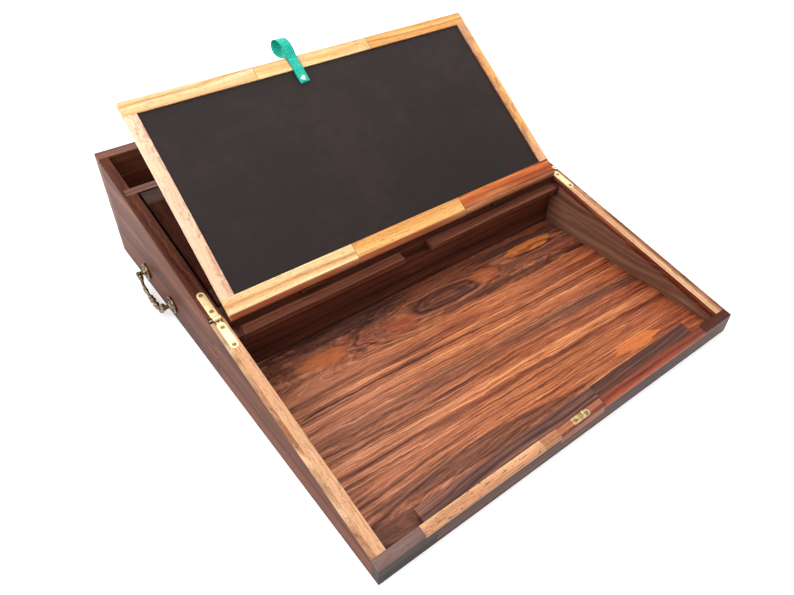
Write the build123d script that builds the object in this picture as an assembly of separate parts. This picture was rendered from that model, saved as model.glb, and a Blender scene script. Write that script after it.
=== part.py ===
from build123d import *
import os
from math import atan2, cos, degrees, radians, sin, tan

# Folding writing slope, opened flat on the table.
# Frame: +X to the writer's right, +Y away from the writer, +Z up, millimetres.
# The base is the half away from the writer, and the lid is the half nearer the writer.
# The pieces are drawn about the line where the halves meet, and are then moved together,
# so that the origin of the parts is the middle of the base's underside.
# The rims of both halves share one slope, and the lid folds over about the line where they meet.

# --- Carcase ---
box_width = 400.0
half_depth = 225.0
front_height = 20.0
rear_height = 112.5
side_board = 12.0
mid_board = 9.0
front_board = 8.0
rear_board = 10.0
base_bottom_thickness = 6.0
lid_bottom_thickness = 8.0
rim_gap = 0.1            # each rim stands this far below the slope plane
joint_gap = 0.15         # each half stands this far back from the joint plane
lipping_depth = 3.0
lid_border = 3.7         # dark border left outside the lid's side lippings
base_lipping_start = 26.0
front_lipping_inset = 39.5    # the front lipping stops this far from the lid's corners

# --- Drawer ---
drawer_height = 31.0
drawer_start = 18.5
drawer_slip = 0.2        # running gap round the drawer
drawer_foot = 0.6        # the drawer front's lower edge stands off the table
drawer_side = 6.0
drawer_wall_height = 22.0
drawer_bottom_thickness = 3.0
drawer_end_room = 1.0
shelf_thickness = 4.0

# --- Ink compartment ---
compartment_depth = 48.0
divider_thickness = 8.0
divider_housing = 9.2
well_relief = 3.0
well_length = 52.0
partition_thickness = 5.0
partition_top = 86.0
tray_top = 84.0
tray_thickness = 16.0
trough_radius = 18.0
trough_end_wall = 8.0
trough_depth = 9.0

# --- Writing flaps ---
flap_recess = 0.4
flap_thickness = 6.2
flap_side_gap = 2.6
flap_end_gap = 1.8
hinge_rail = 18.0
finger_gap = 7.95         # room to reach under the front flap's free edge
hinge_edge_round = 4.0    # round on the underside of each hinge rail
front_free_rail = 13.1
front_stile = 10.9
rear_free_rail = 16.5
rear_stile = 14.5
leather_thickness = 0.8
leather_recess = 0.3
lining_recess = 1.3
front_flap_angle = 156.5

# --- Ledges under the flaps ---
ledge_slip = 0.2
ledge_thickness = 5.0
side_ledge_width = 3.8
base_ledge_width = 6.3
mid_ledge_width = 9.6
mid_ledge_half_gap = 16.0
front_ledge_width = 13.9
front_ledge_left_gap = 34.5
front_ledge_right_gap = 31.5

# --- Strap hinges in the side boards ---
hinge_inset = 6.7
leaf_width = 7.0
leaf_thickness = 1.6
barrel_radius = 2.2
knuckle_width = 1.35
knuckle_slip = 0.04
pin_radius = 0.8
pin_slip = 0.05
barrel_room = 0.3
base_leaf_start = 2.7
base_leaf_end = 30.5
lid_leaf_start = 4.0
lid_leaf_end = 32.0
lid_arm_drop = 0.7
base_screws = (8.6, 27.2)
lid_screws = (9.8, 28.6)
screw_head_radius = 1.9
screw_head_depth = 0.9
screw_shank_radius = 0.9
screw_length = 9.0
slot_width = 0.5
slot_depth = 0.4

# --- Small hinges of the flaps ---
small_barrel_radius = 1.5
small_pin_radius = 0.6
small_knuckle = 8.0
small_leaf_thickness = 1.0
small_board_leaf = 6.5
small_flap_leaf = 11.0
small_barrel_room = 0.3
front_flap_hinge_x = 110.0
rear_flap_hinge_x = 62.0

# --- Lock ---
lock_x = -1.3
lock_inset = 4.4
striker_block_half = 25.8
striker_block_depth = 8.0
striker_block_gap = 0.5
striker_length = 19.0
striker_width = 5.6
striker_thickness = 1.2
striker_screw_offset = 6.5
tab_offset = 0.8
tab_thickness = 1.8
tab_width = 3.4
tab_height = 5.0
eye_height = 3.1
eye_radius = 0.9
bolt_radius = 0.7
bolt_start = 2.4
bolt_length = 11.0
bolt_tail = 3.0
bolt_tail_drop = 10.0
guide_start = 5.4
guide_end = 4.0
selvedge_half = 22.0
selvedge_thickness = 1.8
case_half = 15.5
case_height = 26.0
case_depth = 7.6
case_wall = 0.8
mouth_half = 1.9
mouth_room = 0.5
lock_screw_offset = 18.6
keyhole_drop = 17.0
keyhole_depth = 5.0
keyhole_radius = 2.0
keyhole_slot = 1.2
keyhole_slot_length = 6.0
escutcheon_width = 13.0
escutcheon_height = 22.0
escutcheon_thickness = 1.0

# --- Drawer handle ---
post_spacing = 60.0
post_height = 18.5
rosette_radius = 8.3
rosette_thickness = 1.6
post_radius = 2.1
post_length = 11.0
eye_inset = 2.3
pintle_radius = 1.1
pintle_slip = 0.08
pintle_end = 2.9
bail_arm_radius = 1.5
bail_drop = 14.6
bail_shoulder = 9.5
bail_arm_inset = 4.2
bail_bend = 3.0
knob_radius = 2.5
knob_half_length = 6.0

# --- Ribbon pull ---
ribbon_x = -21.0
ribbon_width = 10.2
ribbon_thickness = 0.6
ribbon_loop_length = 20.0
ribbon_loop_radius = 5.5
tack_from_edge = 23.3
ribbon_tail = 4.0
tack_radius = 2.7
tack_height = 1.5

os.makedirs("parts", exist_ok=True)

# --- Derived values ---
half_width = box_width / 2
slope = atan2(rear_height - front_height, 2 * half_depth)
slope_degrees = degrees(slope)
axis_z = (front_height + rear_height) / 2
inner_x = half_width - side_board
hinge_x = half_width - hinge_inset
flap_half_width = inner_x - flap_side_gap
front_lipping_half = half_width - front_lipping_inset
lock_y = half_depth - lock_inset
lid_inner = half_depth - front_board
base_inner = half_depth - rear_board
divider_far = base_inner - compartment_depth
divider_near = divider_far - divider_thickness
well_x = inner_x + well_relief
flap_board_s = mid_board / cos(slope)
flap_start_s = flap_board_s + flap_end_gap
flap_axis_s = flap_board_s + flap_end_gap / 2
flap_top = -flap_recess
flap_under = flap_top - flap_thickness
ledge_top = flap_under - ledge_slip
front_flap_free_s = lid_inner / cos(slope) - finger_gap
rear_flap_free_s = divider_near / cos(slope) - flap_end_gap
shelf_bottom = drawer_height + drawer_slip
shelf_top = shelf_bottom + shelf_thickness
plate_s = lock_y / cos(slope)
tab_s = plate_s - tab_offset

SLOPE = Location((0, 0, axis_z), (slope_degrees, 0, 0))


def rim(y, below=0.0):
    """Height of the rim at depth y, or of a plane below it."""
    return axis_z + y * tan(slope) - (rim_gap + below) / cos(slope)


def block(x0, x1, y0, y1, z0, z1):
    """Box between two corners."""
    return Pos((x0 + x1) / 2, (y0 + y1) / 2, (z0 + z1) / 2) * Box(abs(x1 - x0), abs(y1 - y0), abs(z1 - z0))


def slope_block(x0, x1, s0, s1, h0, h1):
    """Box lying along the slope: s runs along it, h stands off it."""
    return SLOPE * block(x0, x1, s0, s1, h0, h1)


def board(x0, x1, points):
    """Board of an outline in the YZ plane, from x0 to x1."""
    outline = make_face(Polyline(*points, close=True))
    return extrude(Plane.YZ.offset(x0) * outline, amount=x1 - x0, dir=(1, 0, 0))


def rim_board(x0, x1, y0, y1, z0=0.0, below=0.0):
    """Board whose top follows the rim."""
    return board(x0, x1, [(y0, z0), (y1, z0), (y1, rim(y1, below)), (y0, rim(y0, below))])


def rim_strip(x0, x1, y0, y1, depth):
    """Strip let into the rim."""
    return board(x0, x1, [(y0, rim(y0, depth)), (y1, rim(y1, depth)), (y1, rim(y1)), (y0, rim(y0))])


def rod_x(x0, x1, s, h, radius):
    """Round rod along X at a place on the slope."""
    return SLOPE * Pos((x0 + x1) / 2, s, h) * Rot(0, 90, 0) * Cylinder(radius, abs(x1 - x0))


def rod_h(x, s, h0, h1, radius):
    """Round rod standing off the slope."""
    return SLOPE * Pos(x, s, (h0 + h1) / 2) * Cylinder(radius, abs(h1 - h0))


def mirrored(shape):
    """The piece at the other end of the box."""
    return mirror(shape, about=Plane.YZ)


def pair(shape):
    """A piece and its mirror image as one list."""
    return [shape, mirrored(shape)]


nodes = {}
placed = Pos(0, -half_depth / 2, 0)


def keep(name, *shapes):
    """Store one node of one or more solids, moved so that the base's middle is the origin."""
    solids = []
    for shape in shapes:
        solids += [placed * solid for solid in shape.solids()]
    nodes[name] = solids[0] if len(solids) == 1 else Compound(children=solids)


def screw(x, s, top, length):
    """Slotted countersunk screw whose head lies flush at height top."""
    head = rod_h(x, s, top - screw_head_depth, top, screw_head_radius)
    shank = rod_h(x, s, top - length, top - screw_head_depth, screw_shank_radius)
    slot = slope_block(x - screw_head_radius, x + screw_head_radius, s - slot_width / 2,
                       s + slot_width / 2, top - slot_depth, top + slot_depth)
    return head + shank - slot


def screw_room(x, s, top, length):
    """Hole that a screw fills."""
    head = rod_h(x, s, top - screw_head_depth, top + screw_head_depth, screw_head_radius)
    return head + rod_h(x, s, top - length, top, screw_shank_radius)


# --- Strap hinge: knuckles along X, alternate ones on the base ---
knuckle_pitch = knuckle_width + knuckle_slip
knuckle_count = 5
barrel_half = knuckle_count * knuckle_pitch / 2
leaf_top = -rim_gap


def knuckle_span(index):
    """X range of one knuckle, counted from the hinge's inner end."""
    start = hinge_x - barrel_half + index * knuckle_pitch + knuckle_slip / 2
    return start, start + knuckle_width


def round_leaf(s0, s1, both_ends):
    """Plate let into the rim, with a round end away from the joint."""
    x0 = hinge_x - leaf_width / 2
    x1 = hinge_x + leaf_width / 2
    radius = leaf_width / 2
    sign = 1 if s1 > s0 else -1
    near = s0 + sign * radius if both_ends else s0
    plate = slope_block(x0, x1, near, s1 - sign * radius, leaf_top - leaf_thickness, leaf_top)
    plate += rod_h(hinge_x, s1 - sign * radius, leaf_top - leaf_thickness, leaf_top, radius)
    if both_ends:
        plate += rod_h(hinge_x, near, leaf_top - leaf_thickness, leaf_top, radius)
    return plate


def hinge_leaf(plate, own, sign, arm_s, arm_drop):
    """Leaf with its own knuckles joined to it by flat arms."""
    leaf = plate
    for index in own:
        x0, x1 = knuckle_span(index)
        leaf += rod_x(x0, x1, 0, 0, barrel_radius)
        leaf += slope_block(x0, x1, 0, sign * arm_s, leaf_top - leaf_thickness, leaf_top - arm_drop)
    return leaf - rod_x(hinge_x - leaf_width, hinge_x + leaf_width, 0, 0, pin_radius + pin_slip)


base_leaf = hinge_leaf(round_leaf(base_leaf_start, base_leaf_end, False), (0, 2, 4), 1,
                       base_leaf_start + 0.5, 0)
lid_leaf = hinge_leaf(round_leaf(-lid_leaf_start, -lid_leaf_end, True), (1, 3), -1,
                      lid_leaf_start + leaf_width / 2, lid_arm_drop)
base_seat = round_leaf(0, base_leaf_end, False)
lid_seat = round_leaf(0, -lid_leaf_end, False)
barrel_seat = rod_x(hinge_x - barrel_half - barrel_room, half_width + 1, 0, 0, barrel_radius + barrel_room)
for s in base_screws:
    base_leaf -= screw_room(hinge_x, s, leaf_top, screw_length)
    base_seat += screw_room(hinge_x, s, leaf_top, screw_length)
for s in lid_screws:
    lid_leaf -= screw_room(hinge_x, -s, leaf_top, screw_length)
    lid_seat += screw_room(hinge_x, -s, leaf_top, screw_length)
keep("base_hinge_leaves", *pair(base_leaf))
keep("lid_hinge_leaves", *pair(lid_leaf))
keep("base_hinge_screws", *[p for s in base_screws for p in pair(screw(hinge_x, s, leaf_top, screw_length))])
keep("lid_hinge_screws", *[p for s in lid_screws for p in pair(screw(hinge_x, -s, leaf_top, screw_length))])
strap_pin = rod_x(hinge_x - barrel_half, half_width - 0.4, 0, 0, pin_radius)


# --- Small hinges between each flap and the board behind it ---
def small_hinge(x, sign):
    """Board leaf, flap leaf, pin and the seats they need, at x on one half."""
    axis_s = sign * flap_axis_s
    board_s = sign * flap_board_s
    end = x + 1.5 * small_knuckle
    start = x - 1.5 * small_knuckle
    middle = (x - small_knuckle / 2 + knuckle_slip, x + small_knuckle / 2 - knuckle_slip)
    outer = ((start, x - small_knuckle / 2), (x + small_knuckle / 2, end))
    board_near = axis_s - sign * (small_barrel_radius + small_barrel_room)
    board_far = board_s - sign * small_board_leaf
    board_plate = slope_block(start, end, board_near, board_far, leaf_top - small_leaf_thickness, leaf_top)
    board_room = slope_block(start, end, board_s, board_far, leaf_top - small_leaf_thickness, leaf_top)
    flap_near = axis_s + sign * (small_barrel_radius + small_barrel_room)
    flap_far = flap_near + sign * small_flap_leaf
    flap_plate = slope_block(start, end, flap_near, flap_far, flap_top - small_leaf_thickness, flap_top)
    board_leaf = board_plate
    for x0, x1 in outer:
        board_leaf += rod_x(x0, x1, axis_s, 0, small_barrel_radius)
        board_leaf += slope_block(x0, x1, axis_s, board_near, leaf_top - small_leaf_thickness, leaf_top)
    flap_leaf = flap_plate + rod_x(*middle, axis_s, 0, small_barrel_radius)
    flap_leaf += slope_block(*middle, axis_s, flap_near, flap_top - small_leaf_thickness, flap_top)
    hole = rod_x(start - 1, end + 1, axis_s, 0, small_pin_radius + pin_slip)
    seat_end = rod_x(start - barrel_room, end + barrel_room, axis_s, 0, small_barrel_radius + small_barrel_room)
    arm_sweep = small_leaf_thickness + flap_recess + small_barrel_room
    flap_room = slope_block(start - barrel_room, end + barrel_room, axis_s, flap_near, -arm_sweep, 1)
    return {
        "board_leaf": board_leaf - hole,
        "flap_leaf": flap_leaf - hole,
        "pin": rod_x(start + 0.2, end - 0.2, axis_s, 0, small_pin_radius),
        "board_seat": board_room + seat_end,
        "flap_seat": flap_plate + seat_end + flap_room,
        "notch": seat_end,
    }


front_hinge = small_hinge(front_flap_hinge_x, -1)
rear_hinge = small_hinge(rear_flap_hinge_x, 1)
front_relief = small_hinge(rear_flap_hinge_x, -1)["notch"]
rear_relief = small_hinge(front_flap_hinge_x, 1)["notch"]


def cut_pair(shape, *tools):
    """Cut tools and their mirror images from a piece."""
    for tool in tools:
        shape -= tool
        shape -= mirrored(tool)
    return shape


# --- Base carcase ---
front_y = joint_gap
drawer_far = half_depth - rim_gap
base_side = rim_board(inner_x, half_width, front_y, base_inner)
base_lipping = rim_strip(inner_x, half_width, base_lipping_start, base_inner, lipping_depth)
divider = rim_board(-inner_x - divider_housing, inner_x + divider_housing, divider_near, divider_far, shelf_top)
well_pocket = block(inner_x, well_x, divider_far, base_inner, shelf_top, rear_height + 1)
base_side = base_side - base_lipping - well_pocket - divider - base_seat - barrel_seat
base_lipping = base_lipping - well_pocket - divider - base_seat
drawer_room = block(-half_width - 1, -inner_x, drawer_start, half_depth + 1, -1, shelf_bottom)
keep("base_right_side", base_side)
keep("base_left_side", mirrored(base_side) - drawer_room)
keep("base_side_lippings", *pair(base_lipping))
keep("compartment_divider", divider)

base_front = rim_board(-inner_x, inner_x, front_y, mid_board)
base_front = cut_pair(base_front, rear_hinge["board_seat"], rear_relief)
keep("base_front_board", base_front)
keep("base_bottom_board", block(-inner_x, inner_x, mid_board, base_inner, 0, base_bottom_thickness))
keep("drawer_shelf", block(-inner_x, inner_x, mid_board, base_inner, shelf_bottom, shelf_top))
keep("drawer_guide", block(-inner_x, inner_x, mid_board, drawer_start, base_bottom_thickness, shelf_bottom))

# --- Lock: upright case in the base's rear board, bolt across its mouth ---
case_near = half_depth - rear_board / 2 - case_depth / 2
case_far = case_near + case_depth


def upright(x0, x1, inset, top, bottom):
    """Upright block in the rear board with its top parallel to the rim."""
    y0 = case_near + inset
    y1 = case_far - inset
    return board(lock_x + x0, lock_x + x1, [(y0, rim(y0, bottom)), (y1, rim(y1, bottom)),
                                            (y1, rim(y1, top)), (y0, rim(y0, top))])


case_outer = upright(-case_half, case_half, 0, 0, case_height)
case_outer += upright(-selvedge_half, selvedge_half, 0, 0, selvedge_thickness)
cavity_top = selvedge_thickness
cavity_bottom = case_height - case_wall
case_cavity = upright(-case_half + case_wall, -guide_start, case_wall, cavity_top, cavity_bottom)
case_cavity += upright(-guide_end, case_half - case_wall, case_wall, cavity_top, cavity_bottom)
mouth = slope_block(lock_x - mouth_half, lock_x + mouth_half, tab_s - tab_width / 2 - mouth_room,
                    tab_s + tab_width / 2 + mouth_room, -selvedge_thickness - mouth_room, 1)
bolt_end = lock_x - bolt_start
bolt_tail_end = bolt_end - bolt_length
bolt = rod_x(bolt_tail_end, bolt_end, tab_s, -eye_height, bolt_radius)
guide_hole = rod_x(lock_x - guide_start - 1, lock_x - guide_end + 1, tab_s, -eye_height, bolt_radius + pin_slip)
bolt_at = SLOPE * Pos(0, tab_s, -eye_height)
bolt_y = bolt_at.position.Y
bolt_z = bolt_at.position.Z
bolt += block(bolt_tail_end, bolt_tail_end + bolt_tail, bolt_y - bolt_radius, bolt_y + bolt_radius,
              bolt_z - bolt_tail_drop, bolt_z)
keyhole_at = Pos(lock_x, half_depth, rim(half_depth) - keyhole_drop) * Rot(90, 0, 0)
keyhole = keyhole_at * Cylinder(keyhole_radius, 2 * keyhole_depth)
keyhole_low = Pos(0, 0, -keyhole_slot_length / 2)
keyhole += keyhole_low * keyhole_at * Box(keyhole_slot, keyhole_slot_length, 2 * keyhole_depth)
plate_span = escutcheon_height - escutcheon_width
plate_at = keyhole_at * Pos(0, 0, escutcheon_thickness / 2)
escutcheon = plate_at * Cylinder(escutcheon_width / 2, escutcheon_thickness)
escutcheon += Pos(0, 0, -plate_span) * plate_at * Cylinder(escutcheon_width / 2, escutcheon_thickness)
escutcheon += Pos(0, 0, -plate_span / 2) * plate_at * Box(escutcheon_width, plate_span, escutcheon_thickness)
lock_case = case_outer - case_cavity - mouth - guide_hole
back_board = rim_board(-half_width, half_width, base_inner, half_depth)
back_board = back_board - case_outer - escutcheon - keyhole - drawer_room
lock_screws = []
for side in (-1, 1):
    at = lock_x + side * lock_screw_offset
    lock_screws.append(screw(at, plate_s, leaf_top, screw_length))
    lock_case -= screw_room(at, plate_s, leaf_top, screw_length)
    back_board -= screw_room(at, plate_s, leaf_top, screw_length)
keep("base_back_board", back_board)
keep("lock_case", lock_case - keyhole)
keep("lock_bolt", bolt)
keep("lock_screws", *lock_screws)
keep("escutcheon", escutcheon - keyhole)

# --- Ink compartment fittings ---
partition_x = well_x - well_length
partition = block(partition_x - partition_thickness, partition_x, divider_far, base_inner, shelf_top, partition_top)
keep("well_partitions", *pair(partition))
tray_x = partition_x - partition_thickness
tray = block(-tray_x, tray_x, divider_far, base_inner, tray_top - tray_thickness, tray_top)
trough_y = (divider_far + base_inner) / 2
trough = Pos(0, trough_y, tray_top + trough_radius - trough_depth) * Rot(0, 90, 0)
tray -= trough * Cylinder(trough_radius, 2 * (tray_x - trough_end_wall))
keep("pen_tray", tray)

# --- Ledges that carry the rear flap ---
ledge_bottom = ledge_top - ledge_thickness


def ledge(x0, x1, y0, y1):
    """Ledge with its top parallel to the slope."""
    points = [(y, axis_z + y * tan(slope) + h / cos(slope)) for y, h in
              ((y0, ledge_bottom), (y1, ledge_bottom), (y1, ledge_top), (y0, ledge_top))]
    return board(x0, x1, points)


near_ledge_y = mid_board + base_ledge_width
far_ledge_y = divider_near - base_ledge_width
base_side_ledge = ledge(inner_x - side_ledge_width, inner_x, near_ledge_y, far_ledge_y)
keep("base_flap_ledges", *pair(base_side_ledge), ledge(-inner_x, inner_x, mid_board, near_ledge_y),
     ledge(-inner_x, inner_x, far_ledge_y, divider_near))

# --- Lid carcase ---
lid_side = rim_board(inner_x, half_width, -lid_inner, -front_y)
lid_lipping = rim_strip(inner_x, half_width - lid_border, -lid_inner, -front_y, lipping_depth)
lid_side = lid_side - lid_lipping - lid_seat - barrel_seat
keep("lid_right_side", lid_side)
keep("lid_left_side", mirrored(lid_side))
keep("lid_side_lippings", *pair(lid_lipping - lid_seat - barrel_seat))

lid_mid = rim_board(-inner_x, inner_x, -mid_board, -front_y)
lid_mid = cut_pair(lid_mid, front_hinge["board_seat"], front_relief)
keep("lid_mid_board", lid_mid)
keep("lid_bottom_board", block(-inner_x, inner_x, -lid_inner, -mid_board, 0, lid_bottom_thickness))

lid_front = rim_board(-half_width, half_width, -half_depth, -lid_inner)
front_strip = rim_strip(-front_lipping_half, front_lipping_half, -half_depth, -lid_inner, lipping_depth)
block_seat = rim_strip(lock_x - striker_block_half, lock_x + striker_block_half, -half_depth, -lid_inner,
                       striker_block_depth)
block_end = lock_x + striker_block_half - striker_block_gap
striker_block = rim_strip(lock_x - striker_block_half, block_end, -half_depth, -lid_inner, striker_block_depth)
keep("lid_front_board", lid_front - front_strip - block_seat)
keep("lid_front_lippings", front_strip - block_seat)

plate_left = lock_x - striker_length / 2
plate_right = lock_x + striker_length / 2 - striker_width / 2
striker = slope_block(plate_left, plate_right, -plate_s - striker_width / 2, -plate_s + striker_width / 2,
                      leaf_top - striker_thickness, leaf_top)
striker += rod_h(plate_right, -plate_s, leaf_top - striker_thickness, leaf_top, striker_width / 2)
striker_block -= striker
tab = slope_block(lock_x - tab_thickness / 2, lock_x + tab_thickness / 2, -tab_s - tab_width / 2,
                  -tab_s + tab_width / 2, leaf_top, tab_height)
striker = striker + tab - rod_x(plate_left, plate_right, -tab_s, eye_height, eye_radius)
striker_screws = []
striker_screw_length = striker_block_depth - 1
for side in (-1, 1):
    at = lock_x + side * striker_screw_offset
    striker_screws.append(screw(at, -plate_s, leaf_top, striker_screw_length))
    striker -= screw_room(at, -plate_s, leaf_top, striker_screw_length)
    striker_block -= screw_room(at, -plate_s, leaf_top, striker_screw_length)
keep("striker_block", striker_block)
keep("striker_plate", striker)
keep("striker_screws", *striker_screws)

# --- Ledges that carry the front flap ---
lid_ledge_y = mid_board + mid_ledge_width
keep("lid_flap_ledges",
     ledge(-inner_x, lock_x - mid_ledge_half_gap, -lid_ledge_y, -mid_board),
     ledge(lock_x + mid_ledge_half_gap, inner_x, -lid_ledge_y, -mid_board))
keep("lid_front_ledge", ledge(-inner_x + front_ledge_left_gap, inner_x - front_ledge_right_gap,
                              -lid_inner, -lid_inner + front_ledge_width))

# --- Flaps ---
OPENED = Rot(-front_flap_angle, 0, 0)
front_axis = SLOPE * Pos(0, -flap_axis_s, 0)
RAISE = front_axis * OPENED * front_axis.inverse()


def raised(shape):
    """Turn a piece of the front flap from shut to its raised rest."""
    return RAISE * shape


def flap_frame(sign, free_s, free_rail, stile):
    """Hinge rail, free rail and one stile of a flap, lying shut."""
    start = sign * flap_start_s
    rail_end = start + sign * hinge_rail
    free_start = sign * (free_s - free_rail)
    round_s = start + sign * hinge_edge_round
    round_h = flap_under + hinge_edge_round
    rail = slope_block(-flap_half_width, flap_half_width, start, rail_end, flap_under, flap_top)
    corner = slope_block(-flap_half_width, flap_half_width, start, round_s, flap_under, round_h)
    rail -= corner - rod_x(-flap_half_width, flap_half_width, round_s, round_h, hinge_edge_round)
    free = slope_block(-flap_half_width, flap_half_width, free_start, sign * free_s, flap_under, flap_top)
    side = slope_block(flap_half_width - stile, flap_half_width, rail_end, free_start, flap_under, flap_top)
    return rail, free, side, rail_end, free_start


rail, free, side, panel_near, panel_far = flap_frame(-1, front_flap_free_s, front_free_rail, front_stile)
rail = cut_pair(rail, front_hinge["flap_seat"], front_relief)
panel_half = flap_half_width - front_stile
lining_bottom = flap_under + lining_recess
leather_top = flap_top - leather_recess
keep("flap_hinge_rail", raised(rail))
keep("flap_free_rail", raised(free))
keep("flap_stiles", raised(side), raised(mirrored(side)))
keep("flap_panel", raised(slope_block(-panel_half, panel_half, panel_near, panel_far,
                                      lining_bottom + leather_thickness, leather_top - leather_thickness)))
keep("flap_leather", raised(slope_block(-panel_half, panel_half, panel_near, panel_far,
                                        leather_top - leather_thickness, leather_top)))

# --- Ribbon pull and its tack on the front flap's underside ---
free_s = -front_flap_free_s
tack_s = free_s + tack_from_edge
tack_top = lining_bottom - 2 * ribbon_thickness
lining = slope_block(-panel_half, panel_half, panel_near, panel_far, lining_bottom, lining_bottom + leather_thickness)
keep("flap_lining", raised(lining))
ribbon_top = flap_under - 0.3
ribbon_low = ribbon_top - 2 * ribbon_thickness
rise_s = free_s + front_free_rail
loop_s = free_s - ribbon_loop_length + ribbon_loop_radius
loop_h = ribbon_top
strap = [(tack_s + ribbon_tail, lining_bottom - 0.3), (rise_s + 4, lining_bottom - 0.3), (rise_s, ribbon_top),
         (free_s, ribbon_top), (free_s, ribbon_low), (rise_s, ribbon_low),
         (rise_s + 4, lining_bottom - 0.3 - 2 * ribbon_thickness),
         (tack_s + ribbon_tail, lining_bottom - 0.3 - 2 * ribbon_thickness)]


def band(points):
    """Length of ribbon with its edge outline given along the slope."""
    return SLOPE * board(ribbon_x - ribbon_width / 2, ribbon_x + ribbon_width / 2, points)


ribbon = band(strap)
loop_at = SLOPE * Pos(ribbon_x, loop_s, loop_h) * Rot(0, 90, 0)
loop = loop_at * Cylinder(ribbon_loop_radius, ribbon_width)
loop -= loop_at * Cylinder(ribbon_loop_radius - ribbon_thickness, ribbon_width + 1)
loop -= slope_block(ribbon_x - ribbon_width, ribbon_x + ribbon_width, loop_s, loop_s + 2 * ribbon_loop_radius,
                    loop_h - 3 * ribbon_loop_radius, loop_h + 3 * ribbon_loop_radius)


def strand(sign):
    """One strand from the flap's edge to its side of the loop."""
    mid = (ribbon_top + ribbon_low) / 2
    edge = mid + sign * ribbon_thickness
    points = [(free_s, mid), (free_s, edge), (loop_s, loop_h + sign * ribbon_loop_radius),
              (loop_s, loop_h + sign * (ribbon_loop_radius - ribbon_thickness))]
    return band(points)


tack_hole = rod_h(ribbon_x, tack_s, lining_bottom - 5, lining_bottom + 5, screw_shank_radius)
keep("ribbon_pull", raised(ribbon + loop + strand(1) + strand(-1) - tack_hole))
tack_base = lining_bottom - 0.3 - 2 * ribbon_thickness
dome_radius = (tack_radius ** 2 + tack_height ** 2) / (2 * tack_height)
dome = SLOPE * Pos(ribbon_x, tack_s, tack_base + dome_radius - tack_height) * Sphere(dome_radius)
dome &= slope_block(ribbon_x - 9, ribbon_x + 9, tack_s - 9, tack_s + 9, tack_base - 9, tack_base)
tack = dome + rod_h(ribbon_x, tack_s, tack_base, lining_bottom, screw_shank_radius)
keep("ribbon_tack", raised(tack))

# --- Rear flap ---
rear_rail, rear_free, rear_side, rear_near, rear_far = flap_frame(1, rear_flap_free_s, rear_free_rail, rear_stile)
rear_rail = cut_pair(rear_rail, rear_hinge["flap_seat"], rear_relief)
rear_half = flap_half_width - rear_stile
keep("rear_flap_hinge_rail", rear_rail)
keep("rear_flap_free_rail", rear_free)
keep("rear_flap_stiles", *pair(rear_side))
keep("rear_flap_panel", slope_block(-rear_half, rear_half, rear_near, rear_far, flap_under,
                                    leather_top - leather_thickness))
keep("rear_flap_leather", slope_block(-rear_half, rear_half, rear_near, rear_far,
                                      leather_top - leather_thickness, leather_top))

# --- Flap hinges ---
keep("lid_flap_hinge_leaves", *pair(front_hinge["board_leaf"]))
keep("flap_hinge_leaves", *[raised(p) for p in pair(front_hinge["flap_leaf"])])
keep("flap_hinge_pins", *pair(front_hinge["pin"]))
keep("base_flap_hinge_leaves", *pair(rear_hinge["board_leaf"]))
keep("rear_flap_hinge_leaves", *pair(rear_hinge["flap_leaf"]))
keep("base_hinge_pins", *pair(strap_pin), *pair(rear_hinge["pin"]))

# --- Drawer ---
front_x = -inner_x - joint_gap
near_y = drawer_start + drawer_slip
box_far = base_inner - drawer_slip
floor_z = base_bottom_thickness + joint_gap
wall_top = floor_z + drawer_wall_height
drawer_end = inner_x - drawer_end_room
keep("drawer_front", block(-half_width, front_x, near_y, drawer_far, drawer_foot, drawer_height))
keep("drawer_near_side", block(front_x, drawer_end, near_y, near_y + drawer_side, floor_z, wall_top))
keep("drawer_far_side", block(front_x, drawer_end, box_far - drawer_side, box_far, floor_z, wall_top))
inner_near = near_y + drawer_side
inner_far = box_far - drawer_side
keep("drawer_back", block(drawer_end - drawer_side, drawer_end, inner_near, inner_far, floor_z, wall_top))
keep("drawer_bottom", block(front_x, drawer_end - drawer_side, inner_near, inner_far, floor_z,
                            floor_z + drawer_bottom_thickness))

# --- Drawer handle: two posts and a drop bail between them ---
handle_y = (drawer_start + half_depth) / 2
eye_x = -half_width - post_length + eye_inset


def post(y):
    """Rosette and post with a cross hole for the bail's pintle."""
    rosette = Pos(-half_width - rosette_thickness / 2, y, post_height) * Rot(0, 90, 0)
    stem = Pos(-half_width - post_length / 2, y, post_height) * Rot(0, 90, 0)
    cross = Pos(eye_x, y, post_height) * Rot(90, 0, 0)
    body = rosette * Cylinder(rosette_radius, rosette_thickness) + stem * Cylinder(post_radius, post_length)
    return body - cross * Cylinder(pintle_radius + pintle_slip, 4 * post_radius)


keep("handle_posts", *[post(handle_y + side * post_spacing / 2) for side in (-1, 1)])
arm_y = post_spacing / 2 - bail_arm_inset
knob_z = post_height - bail_drop
path = FilletPolyline((eye_x, handle_y - arm_y, post_height), (eye_x, handle_y - arm_y, post_height - bail_shoulder),
                      (eye_x, handle_y - arm_y / 2, knob_z), (eye_x, handle_y + arm_y / 2, knob_z),
                      (eye_x, handle_y + arm_y, post_height - bail_shoulder),
                      (eye_x, handle_y + arm_y, post_height), radius=bail_bend)
section = Plane((eye_x, handle_y - arm_y, post_height), z_dir=(0, 0, -1)) * Circle(bail_arm_radius)
bail = sweep(section, path=path)
for side in (-1, 1):
    elbow = Pos(eye_x, handle_y + side * arm_y, post_height)
    bail += elbow * Sphere(bail_arm_radius)
    reach = post_spacing / 2 + pintle_end - arm_y
    centre = Pos(eye_x, handle_y + side * (arm_y + reach / 2), post_height)
    bail += centre * Rot(90, 0, 0) * Cylinder(pintle_radius, reach)
knob = Pos(eye_x, handle_y, knob_z) * Rot(90, 0, 0)
bail += knob * Cylinder(knob_radius, 2 * knob_half_length)
keep("handle_bail", bail)

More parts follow.
